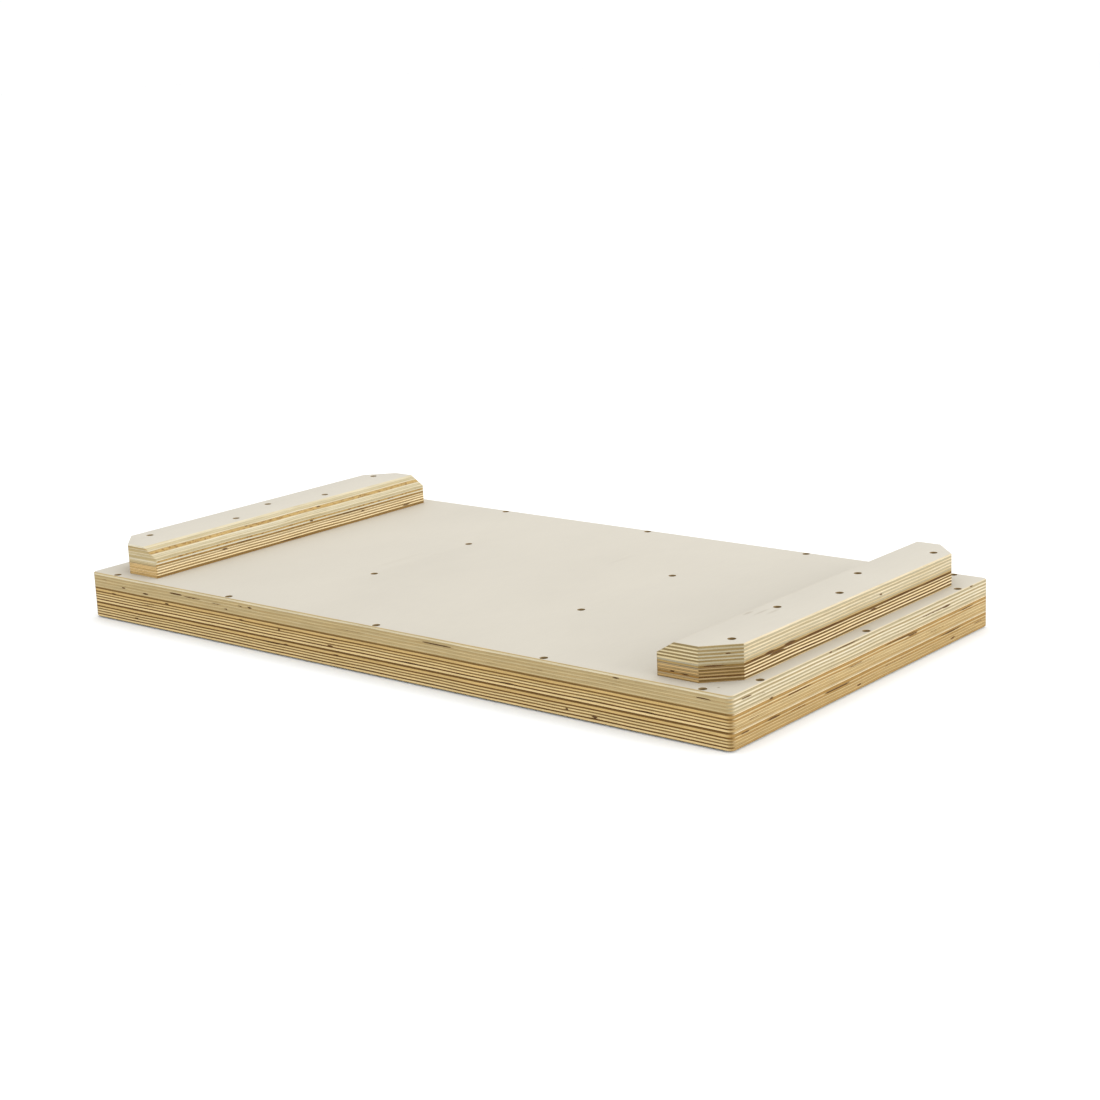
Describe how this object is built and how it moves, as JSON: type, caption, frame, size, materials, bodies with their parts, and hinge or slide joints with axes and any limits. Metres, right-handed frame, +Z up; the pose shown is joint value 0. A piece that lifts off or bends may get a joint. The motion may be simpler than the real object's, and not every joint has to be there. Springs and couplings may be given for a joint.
{
  "type": "transfer board",
  "caption": "Low rectangular plywood transfer board: a thick screwed deck with a raised, bevelled and corner-cut rail along each short end.",
  "frame": {"origin": "centre of the underside, on the surface that the board lies on", "axes": "+X along the board's length, +Y across its width, +Z up"},
  "size_m": [0.7624, 0.4124, 0.0747],
  "materials": {
    "deck_plywood": "sanded, unvarnished birch plywood with bare edges",
    "rail_plywood": "sanded, unvarnished birch plywood with bare edges",
    "screw_steel": "yellow-passivated steel wood screws"
  },
  "bodies": {
    "root": {"bottom_panel": "deck_plywood", "middle_panel": "deck_plywood", "top_panel": "deck_plywood", "left_rail_strip": "rail_plywood", "left_rail_cap": "rail_plywood", "right_rail_strip": "rail_plywood", "right_rail_cap": "rail_plywood", "front_edge_screws": "screw_steel", "back_edge_screws": "screw_steel", "left_end_screws": "screw_steel", "right_end_screws": "screw_steel", "field_screws": "screw_steel", "left_rail_screws": "screw_steel", "right_rail_screws": "screw_steel"}
  },
  "joints": []
}
